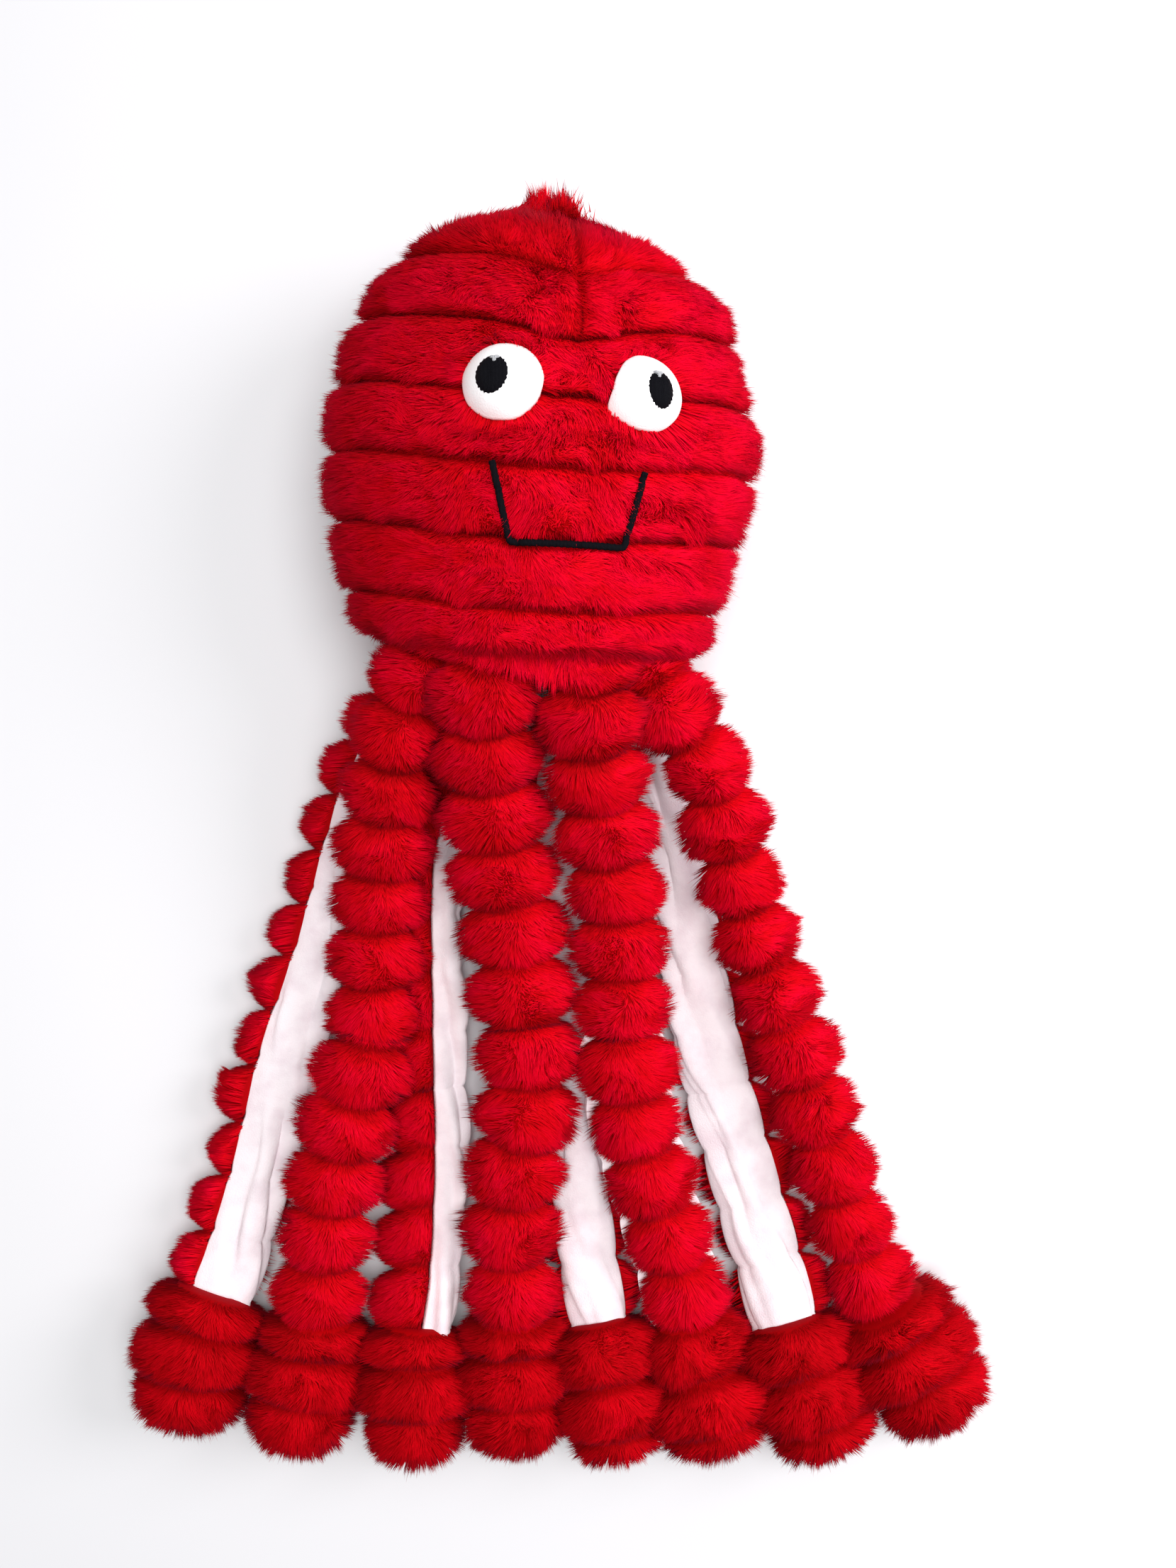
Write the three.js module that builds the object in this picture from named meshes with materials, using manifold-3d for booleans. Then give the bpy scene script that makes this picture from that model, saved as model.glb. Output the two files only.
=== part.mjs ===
// Plush octopus toy, lying on its back: a stuffed, ribbed head with a face, and a ring of eight ribbed legs that end in
// stuffed boots. Millimetres, +Z up, +Y towards the crown. The origin is under the middle of the toy, on the table.
import * as THREE from "three";
import { mergeVertices } from "three/addons/utils/BufferGeometryUtils.js";
import Module from "manifold-3d";

const wasm = await Module();
wasm.setup();

// ---- driving dimensions ----
const GAP = 0.4; // clearance on each side of a seam between two pieces
const HEAD_RIBS = 7;
const HEAD_PITCH = 27.4; // one sewn channel of the plush, measured along the head
const HEAD_START = 9; // the rim that the legs come out of
const HEAD_CRESTS = [72, 84, 90, 91, 83, 74, 54]; // half widths of the head's ribs, from the rim to the crown
const RIM_RADIUS = 69;
const RIB_DEPTH = 6; // how far the seams pull in on the head
const FLATNESS = 0.65; // head thickness over head width
const HEAD_Z = 56; // height of the head's axis over the table
const HEAD_TURN = THREE.MathUtils.degToRad(-2);
const FRONT_SAG = 14; // how far the ribs bow towards the rim in the middle of the face
const COVER = 5; // thickness of the plush, with its pile pressed flat
const BASE_Y = 29; // where the base panel closes the stuffing in
const DART_X = 17; // the forehead's centre seam, off the middle because the face is turned a little
const FOREHEAD_RIBS = 5; // the face panel ends after this many ribs, and the forehead panels begin

const EYE_RADIUS = 16;
const EYE_HEIGHT = 10;
const EYE_CLEARANCE = 1.8; // from the face's crests to the back of an eye
const EYES = {
  left: { x: -16, y: 114, pupil: [-2.6, 0] },
  right: { x: 40.5, y: 113, pupil: [3.4, -0.6] },
};
const PUPIL = [5.8, 7.1]; // half width and half height
const MOUTH = [[-18, 81], [-10.5, 50], [33.5, 50], [40.5, 80]]; // corners of the mouth cord, on the face
const MOUTH_RADIUS = 1.3;

const LEG_RIBS = 11;
const BOOT_LENGTH = 58;
const NECK = [8, 4]; // half width and half height of a leg where it is gathered into the head
const FIRST_RIB = 13; // from the middle of the sewn-in tab to the first rib, where the leg bends
const LEG_HALF_HEIGHT = 9.5;
const LEG_HALF_WIDTHS = { front: [18.5, 15], back: [16, 14] }; // at the first rib and at the boot
const VALLEY = 0.8; // thickness at a rib's seam over its thickness at the crest
const KNEE_AFTER = { front: 7, back: 8 }; // ribs between the head and the knee
const TAB_RADIUS = 8;
const TAB_THICKNESS = 5;
const BOOT_Z = 21.5;
// Along the boot from 0 to 1, then half width and half height: cuff, two ribs and a rounded toe.
const BOOT_RINGS = [
  [0, 14, 12], [0.1, 18, 17], [0.28, 22, 21.5], [0.48, 19.5, 19], [0.7, 22, 21.5], [0.89, 18, 17], [1, 9, 9],
];

// Each leg's centre line from its sewn-in tab in the head to its toe. ribs is the direction that the ribbed side faces
// in the leg's cross-section, in degrees from the leg's left: 90 is up and 270 is down on the table.
const LEGS = [
  { layer: "back", ribs: 228, path: [[-46, 8, 42], [-64, -17, 30], [-86, -50, 14], [-96, -75, 10], [-111, -126, 10],
    [-129, -178, 10], [-141, -232, 11], [-151, -272, 15], [-159, -300, BOOT_Z], [-168, -344, BOOT_Z]] },
  { layer: "front", ribs: 90, path: [[-48, 12, 65], [-57, -10, 62], [-64.5, -34, 56], [-69.5, -60, 46], [-73, -86, 38],
    [-76, -113, 33], [-80, -165, 31], [-95, -222, 27], [-103, -270, 24], [-107, -304, BOOT_Z], [-116, -355, BOOT_Z]] },
  { layer: "back", ribs: 172, path: [[-22, 8, 26], [-30, -18, 20], [-44, -45, 12], [-54, -80, 10], [-55, -160, 10],
    [-54, -226, 10], [-56, -278, 14], [-59, -308, BOOT_Z], [-60, -361, BOOT_Z]] },
  { layer: "front", ribs: 86, path: [[-23, 12, 82], [-23, -12, 75], [-22, -39, 61], [-19, -67, 49], [-16, -94, 40],
    [-12, -120, 34], [-6, -176, 32], [-8, -206, 30], [-14, -236, 27], [-14, -280, 24], [-14, -304, BOOT_Z],
    [-12, -356, BOOT_Z]] },
  { layer: "back", ribs: 270, path: [[20, 8, 26], [17, -18, 20], [11, -50, 11], [9, -99, 10], [13, -150, 10],
    [17, -205, 10], [17.5, -235, 10], [23, -280, 14], [28, -306, BOOT_Z], [37, -358, BOOT_Z]] },
  { layer: "front", ribs: 80, path: [[22, 8, 82], [22.5, -18, 74], [26, -48, 58], [30, -71, 48], [34, -96, 40],
    [36, -125, 34], [39.5, -176, 32], [43.5, -203, 30], [52, -234, 27], [66, -282, 23], [70, -302, BOOT_Z],
    [83, -355, BOOT_Z]] },
  { layer: "back", ribs: 290, path: [[47, 8, 42], [52, -16, 30], [56, -36, 18], [62, -65, 11], [68, -99, 10],
    [80, -167, 10], [98, -235, 11], [111, -280, 15], [117, -304, BOOT_Z], [135, -355, BOOT_Z]] },
  { layer: "front", ribs: 90, path: [[46, 10, 64], [58, -12, 62], [75, -39, 55], [84, -66, 46], [92, -92, 39],
    [100, -117, 34], [117, -167, 30], [135, -220, 27], [152, -271, 23], [161, -292, BOOT_Z], [187, -338, BOOT_Z]] },
];

// ---- materials ----
const plush = new THREE.MeshStandardMaterial({ color: 0xb50012, roughness: 0.95, metalness: 0 });
const shortPile = new THREE.MeshStandardMaterial({ color: 0xf1e9ec, roughness: 0.9, metalness: 0 });
const fibre = new THREE.MeshStandardMaterial({ color: 0xf4f4f0, roughness: 1, metalness: 0 });
const blackThread = new THREE.MeshStandardMaterial({ color: 0x111114, roughness: 0.6, metalness: 0 });

// ---- solids ----
function solidOf(geometry) {
  const bare = (geometry.index ? geometry.toNonIndexed() : geometry.clone()).deleteAttribute("normal");
  bare.deleteAttribute("uv");
  const merged = mergeVertices(bare, 1e-3);
  const vertProperties = new Float32Array(merged.attributes.position.array);
  return new wasm.Manifold(new wasm.Mesh({ numProp: 3, vertProperties, triVerts: new Uint32Array(merged.index.array) }));
}

function geometryOf(solid) {
  const { vertProperties, triVerts } = solid.getMesh();
  return new THREE.BufferGeometry()
    .setAttribute("position", new THREE.BufferAttribute(new Float32Array(vertProperties), 3))
    .setIndex(new THREE.BufferAttribute(new Uint32Array(triVerts), 1));
}

function block(low, high) {
  const size = high.map((value, axis) => value - low[axis]);
  return new THREE.BoxGeometry(...size).translate(...low.map((value, axis) => value + size[axis] / 2));
}

function mesh(name, geometry, material) {
  const made = new THREE.Mesh(geometry, material);
  made.name = name;
  return made;
}

// ---- head ----
// A lathe profile about +Y. Each rib swells to its crest between two seams that pull in.
function ribbedProfile() {
  const points = [new THREE.Vector2(0, HEAD_START), new THREE.Vector2(RIM_RADIUS, HEAD_START)];
  HEAD_CRESTS.forEach((crest, rib) => {
    const start = HEAD_START + rib * HEAD_PITCH;
    if (rib > 0) points.push(new THREE.Vector2((crest + HEAD_CRESTS[rib - 1]) / 2 - RIB_DEPTH, start));
    points.push(new THREE.Vector2(crest - 1, start + HEAD_PITCH * 0.25));
    points.push(new THREE.Vector2(crest - 1, start + HEAD_PITCH * 0.75));
  });
  points.at(-1).x *= 0.72; // the last rib closes in to the crown
  points.push(new THREE.Vector2(0, HEAD_START + HEAD_RIBS * HEAD_PITCH));
  return points;
}

// The smooth inside of the plush, from a height along the head to the crown.
function innerProfile(start, shrink) {
  const points = [new THREE.Vector2(0, start), new THREE.Vector2(RIM_RADIUS - COVER - shrink, start)];
  HEAD_CRESTS.slice(1).forEach((crest, rib) => {
    const valley = (crest + HEAD_CRESTS[rib]) / 2 - RIB_DEPTH - COVER - shrink;
    points.push(new THREE.Vector2(valley, HEAD_START + (rib + 1) * HEAD_PITCH));
  });
  points.push(new THREE.Vector2(0, HEAD_START + HEAD_RIBS * HEAD_PITCH - 2 * COVER - shrink));
  return points.filter((point, index) => index < 2 || point.y > start + GAP);
}

// Lays a lathed head form on the table: flattened front to back, with the ribs bowed down the middle of the face.
function layDown(geometry) {
  const position = geometry.attributes.position;
  const fullHeight = Math.max(...HEAD_CRESTS);
  for (let i = 0; i < position.count; i++) {
    const front = Math.max(0, position.getZ(i) / fullHeight);
    position.setY(i, position.getY(i) - FRONT_SAG * front * front);
    position.setZ(i, position.getZ(i) * FLATNESS + HEAD_Z);
  }
  return geometry;
}

const HEAD_SEGMENTS = 24;
const FAR = 300;
const headForm = solidOf(layDown(new THREE.LatheGeometry(ribbedProfile(), HEAD_SEGMENTS)));
const hollow = solidOf(layDown(new THREE.LatheGeometry(innerProfile(HEAD_START - 1, 0), HEAD_SEGMENTS)));
const table = solidOf(block([-FAR, -FAR, -FAR], [FAR, FAR, 0]));
const headShell = headForm.subtract(hollow).subtract(table);
const foreheadY = HEAD_START + FOREHEAD_RIBS * HEAD_PITCH - FRONT_SAG * 0.8; // the forehead seam at the front

const panel = (low, high) => geometryOf(headShell.intersect(solidOf(block(low, high))));

// Height of the face's crests over the table at a place on the front of the head.
function faceHeight(x, y) {
  const along = (y + FRONT_SAG - HEAD_START) / HEAD_PITCH - 0.5;
  const rib = THREE.MathUtils.clamp(Math.floor(along), 0, HEAD_RIBS - 2);
  const width = THREE.MathUtils.lerp(HEAD_CRESTS[rib], HEAD_CRESTS[rib + 1], along - rib);
  return HEAD_Z + FLATNESS * Math.sqrt(Math.max(0, width * width - x * x));
}

function faceNormal(x, y) {
  const slopeX = faceHeight(x + 1, y) - faceHeight(x - 1, y);
  const slopeY = faceHeight(x, y + 4) - faceHeight(x, y - 4);
  return new THREE.Vector3(-slopeX / 2, -slopeY / 8, 1).normalize();
}

// A stuffed eye: a low dome on the face, with a pupil that follows the dome.
function eye(side, { x, y, pupil }) {
  const domeRadius = (EYE_RADIUS ** 2 + EYE_HEIGHT ** 2) / (2 * EYE_HEIGHT);
  const rim = Math.asin(EYE_RADIUS / domeRadius);
  const arc = Array.from({ length: 6 }, (_, i) => rim * (1 - i / 6));
  const dome = (r, a) => new THREE.Vector2(r * Math.sin(a), r * Math.cos(a) - domeRadius + EYE_HEIGHT);
  const profile = [new THREE.Vector2(0, 0), ...arc.map((a) => dome(domeRadius, a)), new THREE.Vector2(0, EYE_HEIGHT)];
  const white = new THREE.LatheGeometry(profile, 20);

  // A thin layer over the dome, between two distances from its surface, cut to an oval.
  const patch = ([px, py], [width, height], inner, outer) => {
    const shell = (offset) =>
      new THREE.SphereGeometry(domeRadius + offset, 32, 20).translate(0, EYE_HEIGHT - domeRadius, 0);
    const oval = new THREE.CylinderGeometry(1, 1, 40, 18).scale(width, 1, height).translate(px, 20, -py);
    return geometryOf(solidOf(shell(outer)).subtract(solidOf(shell(inner))).intersect(solidOf(oval)));
  };
  const group = new THREE.Group();
  group.add(mesh(`eye_${side}`, white, shortPile));
  group.add(mesh(`pupil_${side}`, patch(pupil, PUPIL, GAP, 1.3), blackThread));
  group.quaternion.setFromUnitVectors(new THREE.Vector3(0, 1, 0), faceNormal(x, y));
  group.position.set(x, y, faceHeight(x, y) + EYE_CLEARANCE);
  return group;
}

// The cord of the mouth, laid over the crests of the ribs.
function mouthCord() {
  const corners = MOUTH.map(([x, y]) => new THREE.Vector3(x, y, faceHeight(x, y)));
  const steps = [];
  corners.slice(1).forEach((corner, i) => {
    for (let k = 0; k < 4; k++) steps.push(corners[i].clone().lerp(corner, k / 4));
  });
  steps.push(corners.at(-1));
  steps.forEach((point) => point.setZ(faceHeight(point.x, point.y) + MOUTH_RADIUS + 1));
  const outline = new THREE.Shape(new THREE.Path().absarc(0, 0, MOUTH_RADIUS, 0, 2 * Math.PI).getPoints(3));
  const extrudePath = new THREE.CatmullRomCurve3(steps, false, "catmullrom", 0.2);
  return new THREE.ExtrudeGeometry(outline, { steps: 26, extrudePath, bevelEnabled: false });
}

function head() {
  const group = new THREE.Group();
  const basePanel = new THREE.CylinderGeometry(RIM_RADIUS - 3, RIM_RADIUS - 3, 3, HEAD_SEGMENTS)
    .scale(0.88, 1, FLATNESS * 0.82).translate(0, BASE_Y, HEAD_Z);
  const stuffing = layDown(new THREE.LatheGeometry(innerProfile(BASE_Y + 12, 1), HEAD_SEGMENTS));
  group.add(
    mesh("face_panel", panel([-FAR, -FAR, HEAD_Z + GAP], [FAR, foreheadY - GAP, FAR]), plush),
    mesh("forehead_left", panel([-FAR, foreheadY + GAP, HEAD_Z + GAP], [DART_X - GAP, FAR, FAR]), plush),
    mesh("forehead_right", panel([DART_X + GAP, foreheadY + GAP, HEAD_Z + GAP], [FAR, FAR, FAR]), plush),
    mesh("head_back", panel([-FAR, -FAR, -FAR], [FAR, FAR, HEAD_Z - GAP]), plush),
    mesh("base_panel", basePanel, plush),
    mesh("head_stuffing", stuffing, fibre),
    mesh("mouth_cord", mouthCord(), blackThread),
    ...Object.entries(EYES).map(([side, place]) => eye(side, place)),
  );
  group.rotation.z = HEAD_TURN;
  return group;
}

// ---- legs ----
// A leg's centre line, measured in millimetres from its tab, with its sideways and upward directions.
function centreLine(path) {
  const curve = new THREE.CatmullRomCurve3(path.map((point) => new THREE.Vector3(...point)));
  curve.arcLengthDivisions = 400;
  const length = curve.getLength();
  return {
    length,
    at(distance) {
      const u = THREE.MathUtils.clamp(distance / length, 0, 1);
      const tangent = curve.getTangentAt(u);
      const point = curve.getPointAt(u).addScaledVector(tangent, distance - u * length);
      const sideways = new THREE.Vector3(0, 0, 1).cross(tangent).normalize();
      return { point, sideways, up: tangent.clone().cross(sideways) };
    },
  };
}

// A closed limb between two distances on a centre line. section gives the outline's [sideways, up] for corner k of a
// ring, and the middle of an end cap for k = null.
function limb(line, from, to, rings, sides, section) {
  const geometry = new THREE.CylinderGeometry(1, 1, 1, sides, rings);
  const position = geometry.attributes.position;
  for (let i = 0; i < position.count; i++) {
    const [x, y, z] = [position.getX(i), position.getY(i), position.getZ(i)];
    const distance = from + (y + 0.5) * (to - from);
    const middle = Math.hypot(x, z) < 0.5;
    const corner = Math.round((Math.atan2(x, z) / (2 * Math.PI)) * sides + sides) % sides;
    const [side, height] = section(distance, middle ? null : corner);
    const { point, sideways, up } = line.at(distance);
    point.addScaledVector(sideways, side).addScaledVector(up, height);
    position.setXYZ(i, point.x, point.y, Math.max(0, point.z));
  }
  return geometry;
}

// Half of a leg's oval tube, on the side that faces the given direction. fullness scales it along the leg.
function halfTube(sides, facing, size, fullness) {
  const towards = THREE.MathUtils.degToRad(facing);
  const [x, z] = [Math.cos(towards), Math.sin(towards)];
  return (distance, corner) => {
    const [width, height] = size(distance);
    const scale = fullness(distance);
    const turn = corner === null ? towards : towards + Math.PI * (corner / (sides - 1) - 0.5);
    const reach = corner === null ? 0.4 : 1;
    const lift = Math.abs(Math.cos(turn - towards)) * (1 - scale);
    return [
      width * reach * Math.cos(turn) * (1 - lift) + x * GAP,
      height * reach * Math.sin(turn) * (1 - lift) + z * GAP,
    ];
  };
}

function leg(number, { layer, ribs, path }) {
  const name = `leg_${number}`;
  const line = centreLine(path);
  const ankle = line.length - BOOT_LENGTH;
  const pitch = (ankle - FIRST_RIB) / LEG_RIBS;
  const kneeRibs = KNEE_AFTER[layer];
  const knee = FIRST_RIB + pitch * kneeRibs;
  const [wide, narrow] = LEG_HALF_WIDTHS[layer];

  const size = (distance) => {
    const share = THREE.MathUtils.clamp((distance - FIRST_RIB) / (ankle - FIRST_RIB), 0, 1);
    const full = [THREE.MathUtils.lerp(wide, narrow, share), LEG_HALF_HEIGHT];
    const open = THREE.MathUtils.smoothstep(distance, FIRST_RIB - 1, FIRST_RIB + pitch / 2); // out of the gathered neck
    return full.map((value, axis) => THREE.MathUtils.lerp(NECK[axis], value, open));
  };
  const ribFullness = (distance) => {
    const phase = (distance - FIRST_RIB) / pitch;
    return distance < FIRST_RIB ? 1 : 1 - (1 - VALLEY) * Math.abs(Math.cos(Math.PI * phase));
  };
  const ribbed = halfTube(7, ribs, size, ribFullness);
  const lining = halfTube(5, ribs + 180, size, () => 0.92);
  const piece = (part, from, to, rings, section, sides, material) =>
    mesh(`${name}_${part}`, limb(line, from, to, rings, sides, section), material);

  // A body's group sits at its joint, and the geometry added to it is moved there too.
  const put = (group, ...meshes) => {
    const { x, y, z } = group.userData.place;
    meshes.forEach((made) => made.geometry.translate(-x, -y, -z));
    group.add(...meshes);
  };
  // A bend turns what follows it about a line across the leg: a front leg folds up over its upper surface, and a back
  // leg folds away from the face, over its lower surface.
  const towards = layer === "front" ? 1 : -1;
  const bend = (parent, jointName, distance, height) => {
    const { point, sideways, up } = line.at(distance);
    const group = new THREE.Group();
    const place = point.addScaledVector(up, towards * height);
    group.name = `${name}_${jointName}`;
    group.userData = { axis: sideways.multiplyScalar(-towards).toArray(), place };
    group.position.copy(place).sub(parent.userData.place ?? new THREE.Vector3());
    parent.add(group);
    return group;
  };

  const root = new THREE.Group();
  root.add(mesh(`${name}_tab`, tab(line), plush));
  const thigh = bend(root, "hip", FIRST_RIB, NECK[1]);
  const start = FIRST_RIB + GAP;
  put(
    thigh,
    piece("upper_ribs", start, knee - GAP, 2 * kneeRibs, ribbed, 7, plush),
    piece("upper_lining", start, knee - GAP, 2 * kneeRibs, lining, 5, shortPile),
  );
  const shin = bend(thigh, "knee", knee, LEG_HALF_HEIGHT);
  const lowerRibs = LEG_RIBS - kneeRibs;
  put(
    shin,
    piece("lower_ribs", knee + GAP, ankle - GAP, 2 * lowerRibs, ribbed, 7, plush),
    piece("lower_lining", knee + GAP, ankle - GAP, 2 * lowerRibs, lining, 5, shortPile),
  );
  const foot = bend(shin, "ankle", ankle, LEG_HALF_HEIGHT);
  put(foot, mesh(`${name}_boot`, boot(line, ankle + GAP, line.length), plush));
  return root;
}

// The flat, unstuffed end of a leg, which is sewn into the head and lets the leg bend.
function tab(line) {
  const { point, sideways } = line.at(0);
  const outline = new THREE.Shape()
    .moveTo(TAB_RADIUS, -FIRST_RIB + GAP)
    .lineTo(TAB_RADIUS, 0)
    .absarc(0, 0, TAB_RADIUS, 0, Math.PI, false)
    .lineTo(-TAB_RADIUS, -FIRST_RIB + GAP);
  return new THREE.ExtrudeGeometry(outline, { depth: TAB_THICKNESS, bevelEnabled: false, curveSegments: 8 })
    .translate(0, 0, -TAB_THICKNESS / 2)
    .rotateZ(Math.atan2(sideways.y, sideways.x))
    .translate(point.x, point.y, point.z);
}

// A stuffed boot, flattened where it rests on the table.
function boot(line, from, to) {
  const sides = 12;
  const rings = 2 * (BOOT_RINGS.length - 1);
  return limb(line, from, to, rings, sides, (distance, corner) => {
    const share = (distance - from) / (to - from);
    const next = Math.max(1, BOOT_RINGS.findIndex(([along]) => along >= share - 1e-6));
    const [[start, width0, height0], [end, width1, height1]] = [BOOT_RINGS[next - 1], BOOT_RINGS[next]];
    const part = (share - start) / (end - start);
    if (corner === null) return [0, 0];
    const turn = (2 * Math.PI * corner) / sides;
    const width = THREE.MathUtils.lerp(width0, width1, part);
    return [width * Math.cos(turn), THREE.MathUtils.lerp(height0, height1, part) * Math.sin(turn)];
  });
}

// ---- assembly ----
const octopus = new THREE.Group();
octopus.add(head(), ...LEGS.map((shape, index) => leg(index + 1, shape)));
const middle = new THREE.Box3().setFromObject(octopus, true).getCenter(new THREE.Vector3());
octopus.position.set(-middle.x, -middle.y, 0); // the origin goes under the middle of the toy

export default octopus;
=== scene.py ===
"""A red plush octopus toy on its back: a ribbed long-pile head with a face, and eight lined legs with boots.

Lengths are in millimetres from the middle of the head's rim, and place() puts them in the shared frame.
"""

import math

import bpy
import numpy as np
from mathutils.kdtree import KDTree
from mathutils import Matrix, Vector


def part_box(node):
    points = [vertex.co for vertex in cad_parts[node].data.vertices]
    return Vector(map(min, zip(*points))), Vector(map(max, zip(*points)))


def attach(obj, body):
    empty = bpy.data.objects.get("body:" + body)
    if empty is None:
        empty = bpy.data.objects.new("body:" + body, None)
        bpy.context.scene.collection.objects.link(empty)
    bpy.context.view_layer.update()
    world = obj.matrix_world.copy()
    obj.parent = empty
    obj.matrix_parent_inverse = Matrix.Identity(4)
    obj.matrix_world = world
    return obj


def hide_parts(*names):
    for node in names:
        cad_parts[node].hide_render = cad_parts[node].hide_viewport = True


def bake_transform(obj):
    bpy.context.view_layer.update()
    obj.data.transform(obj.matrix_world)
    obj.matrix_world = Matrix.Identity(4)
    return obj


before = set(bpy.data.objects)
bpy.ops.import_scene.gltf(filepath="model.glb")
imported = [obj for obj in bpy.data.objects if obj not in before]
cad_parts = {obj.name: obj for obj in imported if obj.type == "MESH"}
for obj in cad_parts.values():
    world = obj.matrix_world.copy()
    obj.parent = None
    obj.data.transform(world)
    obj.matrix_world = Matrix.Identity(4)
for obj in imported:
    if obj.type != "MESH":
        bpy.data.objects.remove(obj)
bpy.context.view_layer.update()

# ---- head ----
RIBS = 7
RIB = 28.0  # one sewn channel of the head
SEAMS = [11.0, 33.5, 63.5, 93.5, 122.5, 151.0, 179.0]  # the rim, and the seams between the ribs
CROWN = 28.0  # the last rib, which closes the head
PANEL = 3.0  # thickness of the head's cloth and its backing
STUFFING_INSET = 12.0  # how far its stuffing lies inside the ribs
CRESTS = [72, 80.5, 87, 89.5, 82, 72.5, 52]  # half widths of the ribs, from the rim to the crown
SHIFTS = [-4, -5, -3.5, -1.5, -3, -0.5, -4]  # the ribs do not lie quite under each other
RIM_RADIUS = 54.0  # the first rib curls in to the ring of legs
FLATNESS = 0.65  # the head's depth over its width
AXIS_Z = 56.0
TURN = math.radians(-2)
SLANT = 0.035  # the ribs fall away a little to one side, because the face is turned
SAG = 14.0  # how far a rib's middle hangs towards the rim
VALLEY_DEPTH = 5.2  # how far the seams draw the cloth in
FLAT_FROM, FLAT_AT = 3.0, 1.0  # the head's back flattens on the table between these heights
FOREHEAD = 5  # the first rib of the forehead panels
DART_X = 13.5  # the forehead's centre seam
DART_DIP = 6.0  # how far that seam pulls the ribs down
DART_REACH = 22.0  # and how far to its sides
DART_GROOVE = (3.5, 7.0)  # its depth in the cloth and in the pile's tips
DART_WIDTH = 2.4
TUFT_X, TUFT_ROOT = 10.5, 6.0  # the crown's tuft: its middle, and how deep its roots lie
BASE_Y = 29.0  # the disc that closes the head lies this far inside its rim
BASE_RADIUS = 62.0
ROWS_PER_RIB = 14  # of the head's mesh
COLUMN_STEP = math.radians(2)
# pupil, size and lean place the pupil on its eye. nip is how far the pile beside it covers the eye.
EYES = {
    "left": {
        "at": (-16, 114), "radius": 16.6, "pupil": (-2.8, -1.2), "size": (6.7, 7.7), "lean": -8, "nip": 0.0,
    },
    "right": {
        "at": (40.5, 113), "radius": 16.4, "pupil": (3.4, -2.2), "size": (5.7, 7.4), "lean": 4, "nip": 0.24,
    },
}
EYE_HEIGHT = 10.0
EYE_LIFT = 1.8  # how far the pile under it lifts an eye
EYE_CLEAR = 0.9  # no pile grows within this share of an eye's radius
EYE_PARTING = 1.3  # within this share, the pile leans away from the eye
EYE_PUSH = 5.0  # and this is the most that it leans
NIP_SIDE, NIP_CORNER = math.radians(152), math.radians(207)  # where the nose's pile covers the right eye
MOUTH = [(-18, 81), (-10.5, 50), (33.5, 50), (40.5, 80)]
CORD_RADIUS = 1.4
MOUTH_LIFT = (5.9, 5.1)  # the cord lies on the pile, and at its right end in it

# ---- legs ----
LEG_RIBS = 11
FIRST_RIB = 13.0  # from a leg's sewn-in end to its hip, where its ribs start
HALF_HEIGHT = 9.5
NECK = (15.5, 9.5)  # least half width and half height where a leg leaves the head
KNEE_AFTER = {"front": 7, "back": 8}  # the ribs between the hip and the knee
PINCH = 0.52  # a leg's width at a seam over its width at a rib's crest
FULLNESS = (0.93, 1.07)  # the ribs of legs and boots are stuffed unevenly
BOW = 3.0  # how far the seams of legs and boots bow towards the head
HALF_TURN = 99.0  # a leg's ribbed side reaches this many degrees to each side of its middle
OVERHANG = 1.2  # how far a leg's pile leans towards its boot
RIBS_STEP, LINING_STEP = 1.5, 1.6  # between the rows of a leg's meshes
CREASE = 2.3  # height of the linings' creases
LINING_HEIGHT = 0.86  # a lining's half height over that of the ribs
BOOT_LENGTH = 58.0
BOOT_Z = 21.5  # height of the boots' centre lines
BOOT_PINCH = 0.64  # a boot's width at a seam over its width at a rib's crest
BOOT_FLATNESS = 0.9
TOE_FROM = 0.4  # the share of the last rib after which the toe closes
BOOT_SEAMS = (0.28, 0.67)  # along a boot, from 0 to 1
BOOT_WIDTHS = (17.8, 20.8, 17.3)  # half widths of the three ribs that they make
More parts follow.
